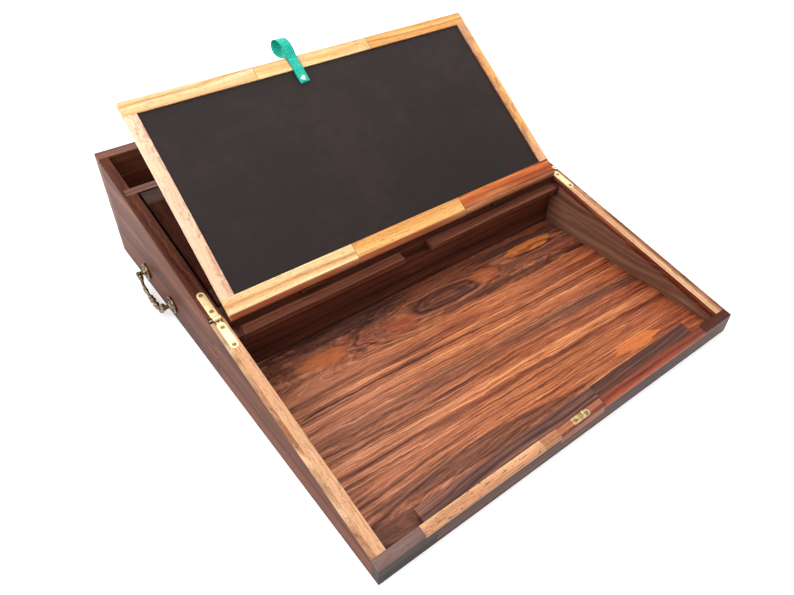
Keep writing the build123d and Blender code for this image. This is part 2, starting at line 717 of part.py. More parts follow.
for name, shape in nodes.items():
    export_step(shape, f"parts/{name}.step")
print(len(nodes), "nodes; slope", round(slope_degrees, 3), "degrees; axis height", axis_z)
print("front flap axis s", round(-flap_axis_s, 3), "rear flap axis s", round(flap_axis_s, 3))
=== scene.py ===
from math import cos, pi, radians, sin

import bmesh
import bpy
from mathutils import Matrix, Vector


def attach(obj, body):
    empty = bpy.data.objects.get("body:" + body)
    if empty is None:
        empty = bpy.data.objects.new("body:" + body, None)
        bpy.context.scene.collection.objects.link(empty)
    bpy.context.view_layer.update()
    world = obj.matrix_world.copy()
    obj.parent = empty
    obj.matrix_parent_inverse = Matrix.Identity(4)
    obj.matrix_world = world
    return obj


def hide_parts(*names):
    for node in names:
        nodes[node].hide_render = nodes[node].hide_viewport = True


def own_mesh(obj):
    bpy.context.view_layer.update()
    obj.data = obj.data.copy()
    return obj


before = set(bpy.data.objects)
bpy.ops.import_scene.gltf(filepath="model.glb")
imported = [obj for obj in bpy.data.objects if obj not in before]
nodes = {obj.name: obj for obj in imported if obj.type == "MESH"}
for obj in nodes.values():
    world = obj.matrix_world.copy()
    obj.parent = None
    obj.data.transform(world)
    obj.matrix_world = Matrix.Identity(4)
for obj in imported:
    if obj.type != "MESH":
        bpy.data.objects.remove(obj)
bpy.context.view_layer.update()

# --- Camera ---
camera_data = bpy.data.cameras.new("camera")
camera_data.sensor_width = 36.0
camera_data.lens = 30.37
camera_data.clip_start = 0.01
camera = bpy.data.objects.new("camera", camera_data)
bpy.context.collection.objects.link(camera)
RIGHT = Vector((0.79264, -0.60950, 0.01480))
UP = Vector((0.39614, 0.53332, 0.74742))
BACK = Vector((-0.46345, -0.58658, 0.66419))
EYE = Vector((-0.31935, -0.50202, 0.43350))
axes = Matrix((RIGHT, UP, BACK)).transposed()
camera.matrix_world = Matrix.Translation(EYE) @ axes.to_4x4()
bpy.context.scene.camera = camera

# --- Places on the object, in metres ---
SLOPE = 0.202740
AXIS = Vector((0.0, -0.1125, 0.06625))
FLAP_AXIS = -0.010088
FLAP_OPEN = radians(156.5)
FLAP_EDGE = 0.0009
FLAP_UNDER = -0.0066


def on_slope(x, s, h):
    """Point at distance s along the slope from the fold line and h above it."""
    y = AXIS.y + s * cos(SLOPE) - h * sin(SLOPE)
    return Vector((x, y, AXIS.z + s * sin(SLOPE) + h * cos(SLOPE)))


def on_flap(x, v, n):
    """Point on the raised flap: v from its hinge edge, n off its inner face."""
    a = -(FLAP_EDGE + v)
    b = FLAP_UNDER - n
    s = FLAP_AXIS + a * cos(FLAP_OPEN) + b * sin(FLAP_OPEN)
    return on_slope(x, s, -a * sin(FLAP_OPEN) + b * cos(FLAP_OPEN))


def srgb(r, g, b):
    """Linear colour of an 8-bit screen colour."""
    out = []
    for c in (r, g, b):
        c = c / 255
        out.append(c / 12.92 if c <= 0.04045 else ((c + 0.055) / 1.055) ** 2.4)
    return (*out, 1.0)


ALONG_SLOPE = (0, cos(SLOPE), sin(SLOPE))
OFF_SLOPE = (0, -sin(SLOPE), cos(SLOPE))
RIM_DEPTH = 0.0012
RIM_HEIGHT = AXIS.dot(Vector(OFF_SLOPE)) - RIM_DEPTH
BAND_HEIGHT = AXIS.dot(Vector(OFF_SLOPE)) - 0.0068
INNER_EDGE = 0.18805
# The slope's upward direction leaned a little to the right: past it lies only the rim's right end.
RIGHT_CORNER = (0.005, OFF_SLOPE[1], OFF_SLOPE[2])
FLAP_ANGLE = SLOPE + pi - FLAP_OPEN
ALONG_FLAP = (0, cos(FLAP_ANGLE), sin(FLAP_ANGLE))
DOWN_FLAP = (0, -cos(FLAP_ANGLE), -sin(FLAP_ANGLE))
ROUND_EDGE = on_flap(0, 0.0042, 0).dot(Vector(DOWN_FLAP))
TO_RIGHT = (1, 0, 0)
UPWARD = (0, 0, 1)

# --- Material kit ---
class Kit:
    """One node material and short calls to build it."""

    def __init__(self, name):
        self.material = bpy.data.materials.new(name)
        self.material.use_nodes = True
        self.tree = self.material.node_tree
        self.tree.nodes.clear()
        self.output = self.tree.nodes.new("ShaderNodeOutputMaterial")
        self.coords = self.tree.nodes.new("ShaderNodeTexCoord").outputs["Object"]

    def put(self, socket, value):
        if isinstance(value, bpy.types.NodeSocket):
            self.tree.links.new(value, socket)
        else:
            socket.default_value = value

    def node(self, kind, **inputs):
        made = self.tree.nodes.new(kind)
        for key, value in inputs.items():
            self.put(made.inputs[key.replace("_", " ")], value)
        return made

    def math(self, operation, a, b=0.0, c=0.0, clamp=False):
        made = self.tree.nodes.new("ShaderNodeMath")
        made.operation = operation
        made.use_clamp = clamp
        for socket, value in zip(made.inputs, (a, b, c)):
            self.put(socket, value)
        return made.outputs[0]

    def dot(self, a, b):
        made = self.tree.nodes.new("ShaderNodeVectorMath")
        made.operation = "DOT_PRODUCT"
        self.put(made.inputs[0], a)
        self.put(made.inputs[1], b)
        return made.outputs["Value"]

    def combine(self, x, y, z):
        return self.node("ShaderNodeCombineXYZ", X=x, Y=y, Z=z).outputs[0]

    def distance(self, a, b):
        """Length of the hypotenuse over two values."""
        return self.math("SQRT", self.math("ADD", self.math("MULTIPLY", a, a), self.math("MULTIPLY", b, b)))

    def part(self, vector, axis):
        made = self.tree.nodes.new("ShaderNodeSeparateXYZ")
        self.put(made.inputs[0], vector)
        return made.outputs[axis]

    def added(self, a, b):
        made = self.tree.nodes.new("ShaderNodeVectorMath")
        made.operation = "ADD"
        self.put(made.inputs[0], a)
        self.put(made.inputs[1], b)
        return made.outputs[0]

    def blended(self, factor, a, b):
        made = self.tree.nodes.new("ShaderNodeMix")
        made.data_type = "VECTOR"
        self.put(made.inputs[0], factor)
        self.put(made.inputs[4], a)
        self.put(made.inputs[5], b)
        return made.outputs[1]

    def scaled(self, vector, scale, offset=(0.0, 0.0, 0.0)):
        made = self.tree.nodes.new("ShaderNodeMapping")
        self.put(made.inputs["Vector"], vector)
        made.inputs["Scale"].default_value = scale
        made.inputs["Location"].default_value = offset
        return made.outputs[0]

    def noise(self, vector, scale, detail=2.0, rough=0.5, distort=0.0):
        made = self.node("ShaderNodeTexNoise", Vector=vector, Scale=scale, Detail=detail,
                         Roughness=rough, Distortion=distort)
        return made.outputs["Fac"]

    def noise_1d(self, value, scale, detail=2.0, rough=0.5):
        made = self.tree.nodes.new("ShaderNodeTexNoise")
        made.noise_dimensions = "1D"
        self.put(made.inputs["W"], value)
        made.inputs["Scale"].default_value = scale
        made.inputs["Detail"].default_value = detail
        made.inputs["Roughness"].default_value = rough
        return made.outputs["Fac"]

    def ramp(self, value, *stops):
        made = self.node("ShaderNodeValToRGB", Fac=value)
        elements = made.color_ramp.elements
        while len(elements) < len(stops):
            elements.new(0.5)
        for element, (position, colour) in zip(elements, stops):
            element.position = position
            element.color = colour if len(colour) == 4 else (*colour, 1.0)
        return made.outputs["Color"]

    def step(self, value, low, high):
        """Smooth 0 to 1 between two values."""
        made = self.tree.nodes.new("ShaderNodeMapRange")
        made.interpolation_type = "SMOOTHSTEP"
        for key, number in (("Value", value), ("From Min", low), ("From Max", high)):
            self.put(made.inputs[key], number)
        return made.outputs["Result"]

    def mix(self, factor, a, b, blend="MIX"):
        made = self.tree.nodes.new("ShaderNodeMix")
        made.data_type = "RGBA"
        made.blend_type = blend
        self.put(made.inputs[0], factor)
        self.put(made.inputs[6], a)
        self.put(made.inputs[7], b)
        return made.outputs[2]

    def bump(self, height, strength, distance, normal=None):
        made = self.node("ShaderNodeBump", Height=height, Strength=strength, Distance=distance)
        if normal is not None:
            self.put(made.inputs["Normal"], normal)
        return made.outputs[0]

    def rounded(self, radius):
        made = self.tree.nodes.new("ShaderNodeBevel")
        made.samples = 4
        made.inputs["Radius"].default_value = radius
        return made.outputs[0]

    def crevice(self, distance, floor):
        """1 in the open, towards floor in tight corners."""
        made = self.tree.nodes.new("ShaderNodeAmbientOcclusion")
        made.samples = 6
        made.inputs["Distance"].default_value = distance
        return self.math("MULTIPLY_ADD", made.outputs["AO"], 1 - floor, floor)

    def surface(self, **inputs):
        shader = self.tree.nodes.new("ShaderNodeBsdfPrincipled")
        for key, value in inputs.items():
            self.put(shader.inputs[key.replace("_", " ")], value)
        self.put(self.output.inputs["Surface"], shader.outputs[0])
        return self.material


def grain_frame(kit, along, across, shift):
    """Coordinates with X along the grain and Y across the face, moved by shift."""
    u = Vector(along).normalized()
    v = Vector(across)
    v = (v - u * v.dot(u)).normalized()
    w = u.cross(v)
    along_grain, over_face, into_board = (kit.dot(kit.coords, tuple(axis)) for axis in (u, v, w))
    placed = kit.combine(along_grain, over_face, into_board)
    return kit.scaled(placed, (1, 1, 1), (shift * 1.37, shift * 0.71, shift * 0.39))


def bands(kit, ring, pitch):
    """Soft broad bands and finer stripes of one ring value, about 0.5 on average."""
    broad = kit.noise_1d(ring, 0.30 / pitch, 2.0, 0.55)
    stripe = kit.noise_1d(ring, 1.1 / pitch, 2.0, 0.6)
    value = kit.math("MULTIPLY_ADD", kit.math("SUBTRACT", broad, 0.5), 0.75, 0.5)
    return kit.math("MULTIPLY_ADD", kit.math("SUBTRACT", stripe, 0.5), 0.60, value)


def fibres(kit, where, value, amount):
    """Adds fine fibre streaks along the grain to a band value."""
    fine = kit.noise(kit.scaled(where, (55, 1100, 1100)), 1.0, 3.0, 0.65)
    coarse = kit.noise(kit.scaled(where, (22, 420, 420)), 1.0, 2.0, 0.55)
    value = kit.math("MULTIPLY_ADD", kit.math("SUBTRACT", fine, 0.5), amount, value)
    return kit.math("MULTIPLY_ADD", kit.math("SUBTRACT", coarse, 0.5), amount, value), fine


def pores(kit, where, colour, amount, dark):
    """Short dark vessel marks along the grain."""
    long_marks = kit.step(kit.noise(kit.scaled(where, (110, 1300, 1300)), 1.0, 1.0, 0.5), 0.60, 0.72)
    dots = kit.step(kit.noise(kit.scaled(where, (420, 900, 900)), 1.0, 1.0, 0.5), 0.64, 0.74)
    marks = kit.math("MAXIMUM", long_marks, dots)
    return kit.mix(kit.math("MULTIPLY", marks, amount), colour, dark), marks


def finish(kit, colour, fine, marks, rough, shine, corner):
    """Wax finish: corners darkened as painted shade, open pores and softened edges."""
    # Ambient occlusion darkens the colour in corners and joints: painted shade.
    dirt_and_corner_shade = kit.crevice(0.008, corner)
    colour = kit.mix(1.0, colour, kit.combine(dirt_and_corner_shade, dirt_and_corner_shade, dirt_and_corner_shade), "MULTIPLY")
    sheen = kit.math("MULTIPLY_ADD", fine, 0.16, rough - 0.08)
    height = kit.math("MULTIPLY_ADD", marks, -0.8, fine)
    normal = kit.bump(height, 0.22, 0.0004, kit.rounded(0.0006))
    return kit.surface(Base_Color=colour, Roughness=sheen, Normal=normal, Specular_IOR_Level=shine)


def wood(name, stops, along=(1, 0, 0), across=(0, 1, 0), shift=0.0, pitch=0.006, figure=0.03, stretch=0.16,
         streak=0.22, lines=0.5, pore=0.4, dark=(48, 24, 16), rough=0.45, shine=0.25, patch=None, corner=0.55,
         seams=(), zones=(), burl=0.0, turned=0.0, edge=None):
    """Waxed wood. stops runs from the darkest band to the lightest, pitch is its stripe spacing.
    patch is (colour, amount): a slow second tone. seams are glue lines at an X. zones are
    (direction, from, stops): past that distance along the direction the piece is of other wood.
    turned is how far from the middle the grain turns to run along the slope.
    edge is (half width, stops): nearer to the middle than that the piece is of other wood."""
    kit = Kit(name)
    where = grain_frame(kit, along, across, shift)
    if turned:
        outside = kit.math("GREATER_THAN", kit.math("ABSOLUTE", kit.part(kit.coords, "X")), turned)
        where = kit.blended(outside, where, grain_frame(kit, ALONG_SLOPE, (1, 0, 0), shift + 1.0))
    ramps = [stops]
    masks = []
    for direction, start, zone_stops in zones:
        past = kit.math("GREATER_THAN", kit.dot(kit.coords, direction), start)
        push = kit.math("MULTIPLY", past, 0.37 + 0.21 * len(masks))
        where = kit.added(where, kit.combine(push, push, push))
        masks.append(past)
        ramps.append(zone_stops)
    slow = kit.noise(kit.scaled(where, (stretch * 14, 14, 14)), 1.0, 2.0, 0.5)
    quick = kit.noise(kit.scaled(where, (stretch * 70, 70, 70)), 1.0, 2.0, 0.5)
    ring = kit.math("MULTIPLY_ADD", kit.math("SUBTRACT", slow, 0.5), figure, kit.part(where, "Y"))
    ring = kit.math("MULTIPLY_ADD", kit.math("SUBTRACT", quick, 0.5), figure * 0.22, ring)
    if burl:
        curl = kit.noise(kit.scaled(where, (45, 90, 90)), 1.0, 4.0, 0.62, 1.6)
        ring = kit.math("MULTIPLY_ADD", kit.math("SUBTRACT", curl, 0.5), burl, ring)
    ring = kit.math("MULTIPLY_ADD", kit.part(where, "Z"), 0.35, ring)
    value, fine = fibres(kit, where, bands(kit, ring, pitch), streak)
    colour = kit.ramp(value, *ramps[0])
    for past, other in zip(masks, ramps[1:]):
        colour = kit.mix(past, colour, kit.ramp(value, *other))
    if edge is not None:
        inside = kit.math("LESS_THAN", kit.math("ABSOLUTE", kit.part(kit.coords, "X")), edge[0])
        colour = kit.mix(inside, colour, kit.ramp(value, *edge[1]))
    if patch is not None:
        tone = kit.noise(kit.scaled(where, (7, 22, 22)), 1.0, 3.0, 0.55)
        colour = kit.mix(kit.math("MULTIPLY", kit.step(tone, 0.42, 0.66), patch[1]), colour, patch[0])
    contour = kit.math("ABSOLUTE", kit.math("SUBTRACT", kit.noise_1d(ring, 0.42 / pitch, 1.0, 0.5), 0.5))
    fade = kit.step(kit.noise(kit.scaled(where, (9, 60, 60)), 1.0, 2.0, 0.5), 0.42, 0.60)
    line = kit.math("MULTIPLY", kit.math("SUBTRACT", 1.0, kit.step(contour, 0.0, 0.035)), fade)
    colour = kit.mix(kit.math("MULTIPLY", line, lines), colour, srgb(*dark))
    colour, marks = pores(kit, where, colour, pore, srgb(*dark))
    for at in seams:
        gap = kit.math("ABSOLUTE", kit.math("SUBTRACT", kit.dot(kit.coords, (1, 0, 0)), at))
        seam = kit.math("LESS_THAN", gap, 0.00025)
        colour = kit.mix(kit.math("MULTIPLY", seam, 0.7), colour, srgb(60, 30, 18))
    return finish(kit, colour, fine, marks, rough, shine, corner)


def palette(*colours):
    """Four even stops, from the darkest band to the lightest."""
    return tuple((at, srgb(*c)) for at, c in zip((0.32, 0.44, 0.56, 0.70), colours))


PALE = palette((190, 128, 80), (226, 172, 114), (244, 200, 142), (253, 224, 172))
PINK = palette((182, 128, 102), (226, 178, 142), (250, 216, 176), (255, 238, 204))
ORANGE = palette((160, 92, 42), (210, 142, 72), (238, 176, 100), (250, 204, 130))
FLAME = palette((82, 34, 17), (146, 62, 27), (198, 98, 42), (232, 144, 72))
RIM = palette((158, 106, 74), (196, 144, 104), (220, 172, 130), (238, 198, 156))
RED_RIM = palette((42, 18, 11), (72, 34, 21), (94, 48, 31), (120, 68, 45))
OUTSIDE = palette((84, 44, 30), (100, 54, 37), (114, 64, 45), (134, 80, 57))
DARK_IN = palette((46, 23, 17), (76, 40, 30), (102, 56, 42), (130, 76, 57))
GOLDEN = palette((190, 128, 70), (236, 184, 112), (250, 214, 146), (255, 234, 176))
FRONT = palette((52, 32, 26), (80, 50, 42), (106, 69, 57), (132, 94, 79))
BAND = palette((58, 20, 14), (92, 34, 22), (120, 50, 33), (150, 74, 52))
WALL = palette((92, 58, 45), (114, 76, 60), (130, 90, 72), (148, 108, 88))
WALL_TOP = palette((88, 50, 32), (124, 78, 52), (156, 104, 72), (190, 136, 98))
FRONT_END = palette((30, 20, 17), (46, 32, 28), (60, 43, 38), (78, 58, 52))
SHEEN_GREY_TOP = palette((92, 66, 60), (120, 92, 86), (140, 110, 102), (162, 132, 122))
RED_CORNER = palette((66, 26, 17), (94, 42, 29), (116, 56, 40), (142, 78, 58))
LEDGE = palette((50, 22, 14), (84, 42, 27), (110, 60, 40), (142, 86, 60))
LEDGE_LEFT = palette((60, 32, 26), (100, 60, 48), (134, 84, 68), (164, 110, 86))
LEDGE_RIGHT = palette((40, 21, 17), (70, 38, 29), (98, 55, 40), (134, 80, 56))
FRONT_RIM_LEFT = palette((182, 124, 86), (222, 168, 122), (240, 190, 144), (252, 216, 174))
FRONT_RIM_MIDDLE = palette((132, 80, 52), (170, 114, 78), (194, 138, 98), (216, 166, 124))
BLOCK = palette((104, 54, 34), (142, 80, 53), (172, 104, 74), (198, 132, 98))
DIVIDER = palette((60, 28, 18), (94, 50, 34), (120, 70, 50), (146, 94, 70))
SHADED_ROUND_EDGE = palette((96, 42, 22), (142, 72, 40), (172, 94, 56), (198, 122, 78))
# Darkened beyond the wood's own tone: painted shade from the raised flap.
REAR_FLAP_SHADED = palette((30, 13, 9), (52, 24, 16), (72, 34, 24), (96, 50, 36))

# --- The tray floor: one board with a flame figure at its back, straight stripes and a dark front ---
TRAY_BACK = -0.1215
BACK_PITH = 0.030
OVAL_X = 0.016
FLAME_X = 0.138
FRONT_PITH = 0.200


def tray_floor():
    kit = Kit("tray_rosewood")
    where = kit.coords
    x = kit.part(where, "X")
    depth = kit.math("SUBTRACT", TRAY_BACK, kit.part(where, "Y"))
    sway = kit.math("SUBTRACT", kit.noise(kit.scaled(where, (5, 16, 1), (0.3, 0.1, 0)), 1.0, 2.0, 0.5), 0.5)
    ripple = kit.noise(kit.scaled(where, (26, 110, 1), (1.3, 0.7, 0)), 1.0, 2.0, 0.55)
    ripple = kit.math("SUBTRACT", ripple, 0.5)
    ragged = kit.noise(kit.scaled(where, (90, 260, 1), (2.1, 3.7, 0)), 1.0, 3.0, 0.6)
    ragged = kit.math("SUBTRACT", ragged, 0.5)
    low = kit.math("MULTIPLY_ADD", x, -0.040, depth)
    low = kit.math("MULTIPLY_ADD", sway, 0.012, low)
    low = kit.math("MULTIPLY_ADD", ripple, 0.0045, low)
    low = kit.math("MULTIPLY_ADD", ragged, 0.0018, low)

    def ovals(pith, centre, squash, fade_from, fade_to):
        """Ring distance of long ovals about a pith, which die out into straight stripes."""
        fade = kit.math("SUBTRACT", 1.0, kit.step(depth, fade_from, fade_to))
        reach = kit.math("MULTIPLY", kit.math("SUBTRACT", x, centre), squash)
        reach = kit.math("MULTIPLY_ADD", ripple, 0.012, reach)
        reach = kit.math("MULTIPLY", reach, fade)
        rise = kit.math("SUBTRACT", low, pith)
        return kit.distance(reach, rise)

    oval = ovals(BACK_PITH, OVAL_X, 0.21, 0.036, 0.066)
    flame = ovals(BACK_PITH - 0.009, FLAME_X, 0.13, 0.036, 0.066)
    ring = kit.math("MINIMUM", oval, kit.math("ADD", flame, 0.005))
    front_x = kit.math("MULTIPLY", kit.math("SUBTRACT", x, 0.12), 0.09)
    front_y = kit.math("SUBTRACT", low, FRONT_PITH)
    front = kit.distance(front_x, front_y)
    front = kit.math("SUBTRACT", FRONT_PITH - BACK_PITH, front)
    to_front = kit.step(low, 0.150, 0.176)
    ring = kit.math("MULTIPLY", ring, kit.math("SUBTRACT", 1.0, to_front))
    ring = kit.math("ADD", ring, kit.math("MULTIPLY", front, to_front))
    value = bands(kit, kit.math("ADD", ring, 0.713), 0.0034)
    straight_end = kit.math("SUBTRACT", 1.0, kit.step(low, 0.155, 0.175))
    straight = kit.math("MULTIPLY", kit.step(low, 0.040, 0.060), straight_end)
    force = kit.math("MULTIPLY_ADD", straight, 0.06, 0.38)
    value = kit.math("MULTIPLY_ADD", kit.math("SUBTRACT", value, 0.5), force, 0.5)
    value, fine = fibres(kit, where, value, 0.28)
    hair = kit.noise_1d(ring, 640.0, 2.0, 0.6)
    value = kit.math("MULTIPLY_ADD", kit.math("SUBTRACT", hair, 0.5), 0.32, value)
    dash = kit.noise(kit.scaled(kit.combine(x, low, 0.0), (11, 240, 1)), 1.0, 3.0, 0.6)
    value = kit.math("MULTIPLY_ADD", kit.math("SUBTRACT", dash, 0.5), 0.30, value)

    def spot(cx, cy, rx, ry):
        """Soft oval patch: 1 at its middle, 0 past its edge."""
        dx = kit.math("DIVIDE", kit.math("SUBTRACT", x, cx), rx)
        dy = kit.math("DIVIDE", kit.math("SUBTRACT", low, cy), ry)
        square = kit.math("ADD", kit.math("MULTIPLY", dx, dx), kit.math("MULTIPLY", dy, dy))
        square = kit.math("MULTIPLY_ADD", ripple, 1.2, square)
        square = kit.math("MULTIPLY_ADD", ragged, 1.4, square)
        return kit.math("SUBTRACT", 1.0, kit.step(square, 0.45, 0.85))

    brown = kit.ramp(value, *palette((76, 42, 32), (136, 82, 60), (184, 116, 84), (222, 154, 114)))
    golden = kit.ramp(value, *palette((80, 37, 23), (138, 72, 44), (184, 107, 65), (220, 152, 98)))
    red = kit.ramp(value, *palette((66, 27, 17), (118, 54, 33), (156, 77, 50), (186, 108, 72)))
    muted_and_shaded = kit.ramp(value, *palette((50, 28, 24), (92, 52, 41), (128, 74, 57), (162, 102, 80)))
    grey = kit.ramp(value, *palette((42, 27, 25), (60, 40, 37), (80, 54, 48), (112, 76, 62)))
    colour = kit.mix(kit.step(x, -0.16, 0.02), brown, golden)
    colour = kit.mix(kit.math("MULTIPLY", kit.step(x, 0.10, 0.20), 0.75), colour, red)
    # Across the back of the floor, by the mid board and ledges, a darker muted band: partly darker wood,
    # partly painted shade.
    colour = kit.mix(kit.math("MULTIPLY", spot(0.02, 0.020, 0.30, 0.034), 0.75), colour, muted_and_shaded)
    colour = kit.mix(kit.math("MULTIPLY", spot(0.012, 0.030, 0.046, 0.015), 0.45), colour, grey)
    colour = kit.mix(kit.math("MULTIPLY", spot(-0.085, 0.010, 0.090, 0.014), 0.70), colour, grey)
    colour = kit.mix(kit.math("MULTIPLY", spot(0.130, 0.006, 0.080, 0.006), 0.80), colour, grey)
    colour = kit.mix(kit.math("MULTIPLY", spot(0.068, 0.028, 0.020, 0.012), 0.50), colour, srgb(186, 98, 56))
    colour = kit.mix(kit.math("MULTIPLY", spot(0.138, 0.016, 0.040, 0.008), 0.70), colour, srgb(222, 126, 58))
    left_flame = kit.math("MULTIPLY", spot(-0.122, 0.034, 0.030, 0.010), 0.60)
    colour = kit.mix(left_flame, colour, srgb(196, 108, 62))
    colour = kit.mix(kit.math("MULTIPLY", spot(-0.040, 0.036, 0.020, 0.009), 0.55), colour, srgb(174, 88, 54))
    colour = kit.mix(kit.math("MULTIPLY", spot(0.02, 0.112, 0.42, 0.010), 0.35), colour, grey)
    colour = kit.mix(kit.math("MULTIPLY", spot(0.15, 0.112, 0.10, 0.006), 0.40), colour, grey)
    colour = kit.mix(kit.math("MULTIPLY", spot(-0.08, 0.184, 0.13, 0.010), 0.60), colour, grey)
    colour = kit.mix(kit.math("MULTIPLY", spot(-0.190, 0.206, 0.066, 0.020), 0.65), colour, grey)
    colour = kit.mix(kit.math("MULTIPLY", spot(0.112, 0.176, 0.034, 0.007), 0.75), colour, srgb(214, 120, 62))
    contour = kit.math("ABSOLUTE", kit.math("SUBTRACT", kit.noise_1d(ring, 120.0, 2.0, 0.5), 0.5))
    fade = kit.step(kit.noise(kit.scaled(where, (8, 45, 1), (4.1, 2.2, 0)), 1.0, 2.0, 0.5), 0.40, 0.58)
    line = kit.math("MULTIPLY", kit.math("SUBTRACT", 1.0, kit.step(contour, 0.0, 0.040)), fade)
    colour = kit.mix(kit.math("MULTIPLY", line, 0.62), colour, srgb(52, 28, 24))
    under = kit.math("ABSOLUTE", kit.math("SUBTRACT", low, 0.0475))
    under = kit.math("SUBTRACT", 1.0, kit.step(under, 0.001, 0.005))
    under = kit.math("MULTIPLY", under, kit.step(x, -0.02, 0.05))
    colour = kit.mix(kit.math("MULTIPLY", under, 0.8), colour, srgb(50, 28, 26))
    colour, marks = pores(kit, where, colour, 0.35, srgb(50, 26, 20))
    return finish(kit, colour, fine, marks, 0.50, 0.09, 0.55)


# --- The other woods ---
tray_wood = tray_floor()
lid_left_out = wood("lid_left_rosewood", OUTSIDE, (0, 1, 0), UPWARD, 1.3, 0.007, 0.03, stretch=0.10, pore=0.5,
                    patch=(srgb(66, 34, 26), 0.5), shine=0.06, zones=((OFF_SLOPE, RIM_HEIGHT, RIM),))
side_out = wood("side_rosewood", OUTSIDE, (0, 1, 0), UPWARD, 1.9, 0.007, 0.03, stretch=0.10, pore=0.5,
                shine=0.06, patch=(srgb(66, 34, 26), 0.5))
right_wall = wood("right_wall_rosewood", WALL, (0, 1, 0), UPWARD, 2.7, 0.007, 0.06, stretch=0.20, lines=0.3,
                  pore=0.2, dark=(150, 112, 90), patch=(srgb(92, 56, 42), 0.4), shine=0.15,
                  zones=((OFF_SLOPE, BAND_HEIGHT, BAND),
                         (OFF_SLOPE, RIM_HEIGHT, WALL_TOP)))
# The front board's grey top is painted sheen.
front_out = wood("front_rosewood", FRONT, TO_RIGHT, UPWARD, 2.1, 0.006, 0.02, pore=0.4,
                 patch=(srgb(46, 30, 26), 0.6), rough=0.46, shine=0.16,
                 zones=(((-1, 0, 0), 0.150, FRONT_END),
                        (OFF_SLOPE, RIM_HEIGHT, SHEEN_GREY_TOP),
                        (RIGHT_CORNER, RIM_HEIGHT + RIM_DEPTH, RED_CORNER)))
back_out = wood("back_rosewood", OUTSIDE, TO_RIGHT, UPWARD, 3.2, 0.007, 0.03, patch=(srgb(96, 56, 42), 0.6))
drawer_face = wood("drawer_rosewood", OUTSIDE, (0, 1, 0), UPWARD, 4.4, 0.006, 0.02, stretch=0.10, pore=0.5,
                   shine=0.06, patch=(srgb(58, 31, 24), 0.6))
inner_wood = wood("inner_rosewood", DARK_IN, TO_RIGHT, UPWARD, 5.1, 0.008, 0.03, shine=0.12,
                  patch=(srgb(84, 40, 24), 0.5), corner=0.25)
inner_flat = wood("inner_flat", DARK_IN, TO_RIGHT, (0, 1, 0), 6.1, 0.008, 0.04)
ledge_wood = wood("ledge_rosewood", LEDGE, TO_RIGHT,
                  (0, 1, 0), 6.6, 0.005, 0.02, turned=0.1765, shine=0.18)
front_ledge_wood = wood("front_ledge_rosewood", LEDGE_LEFT,
                        TO_RIGHT, (0, 1, 0), 7.3, 0.005, 0.04, lines=0.7,
                        zones=((TO_RIGHT, 0.03, LEDGE_RIGHT),))
rim_pale = wood("rim_pale", RIM, ALONG_SLOPE, TO_RIGHT, 8.2, 0.006, 0.03, pore=0.6, dark=(118, 70, 44),
                lines=0.4, patch=(srgb(206, 144, 98), 0.5), corner=0.7, burl=0.006, edge=(INNER_EDGE, BAND))
front_rim = wood("front_rim", FRONT_RIM_LEFT, TO_RIGHT,
                 (0, 1, 0), 9.4, 0.005, 0.02, pore=0.9, dark=(104, 58, 34), lines=0.3, corner=0.7,
                 patch=(srgb(186, 122, 80), 0.35),
                 zones=((TO_RIGHT, -0.045, FRONT_RIM_MIDDLE),
                        (TO_RIGHT, 0.02, palette((70, 24, 13), (112, 44, 24), (142, 60, 34), (174, 86, 52)))))
block_wood = wood("block_wood", BLOCK, TO_RIGHT, (0, 1, 0), 9.9, 0.004, 0.02, corner=0.6)
rim_red = wood("rim_red", RED_RIM, ALONG_SLOPE, TO_RIGHT, 10.3, 0.009, 0.03, shine=0.06, burl=0.012,
               patch=(srgb(112, 58, 34), 0.5), corner=0.6)
divider_wood = wood("divider_rosewood", DIVIDER, TO_RIGHT,
                    (0, 1, 0), 11.2, 0.005, 0.02, corner=0.6)
# Along its rounded hinge edge the rail is darker: painted shade of the edge that faces down.
hinge_rail_wood = wood("hinge_rail_wood", PALE, TO_RIGHT, ALONG_FLAP, 12.1, 0.006, 0.02, pore=0.5, lines=0.3,
                       dark=(120, 70, 40), patch=(srgb(230, 168, 108), 0.45), corner=0.6,
                       seams=(-0.062, 0.062),
                       zones=((TO_RIGHT, -0.062, ORANGE), (TO_RIGHT, 0.062, FLAME),
                              (DOWN_FLAP, ROUND_EDGE, SHADED_ROUND_EDGE)))
free_rail_wood = wood("free_rail_wood", PALE, TO_RIGHT, ALONG_FLAP, 13.4, 0.006, 0.03, pore=0.5, lines=0.3,
                      dark=(120, 70, 40), patch=(srgb(222, 160, 104), 0.4), corner=0.6, seams=(-0.062, 0.062),
                      zones=((TO_RIGHT, -0.062, GOLDEN), (TO_RIGHT, 0.062, ORANGE)))
stile_wood = wood("stile_wood", PINK, ALONG_FLAP, TO_RIGHT, 14.6, 0.011, 0.02, stretch=0.5, pore=0.3,
                  lines=0.6, dark=(158, 106, 84), patch=(srgb(214, 164, 136), 0.5), corner=0.6, burl=0.030,
                  zones=((TO_RIGHT, 0.0, ORANGE),))
# Rear flap stiles: dark rosewood made darker still as painted shade from the raised flap above them.
rear_flap_shaded_wood = wood("rear_flap_shaded_rosewood", REAR_FLAP_SHADED,
                      ALONG_SLOPE, TO_RIGHT, 15.8, 0.010, 0.03, rough=0.6, shine=0.02, burl=0.012, corner=0.5)
rear_rail_wood = wood("rear_rail_rosewood", palette((30, 14, 9), (52, 27, 18), (72, 39, 27), (98, 58, 41)),
                      TO_RIGHT, (0, 1, 0), 16.5, 0.010, 0.03, shine=0.12, burl=0.012, corner=0.5)


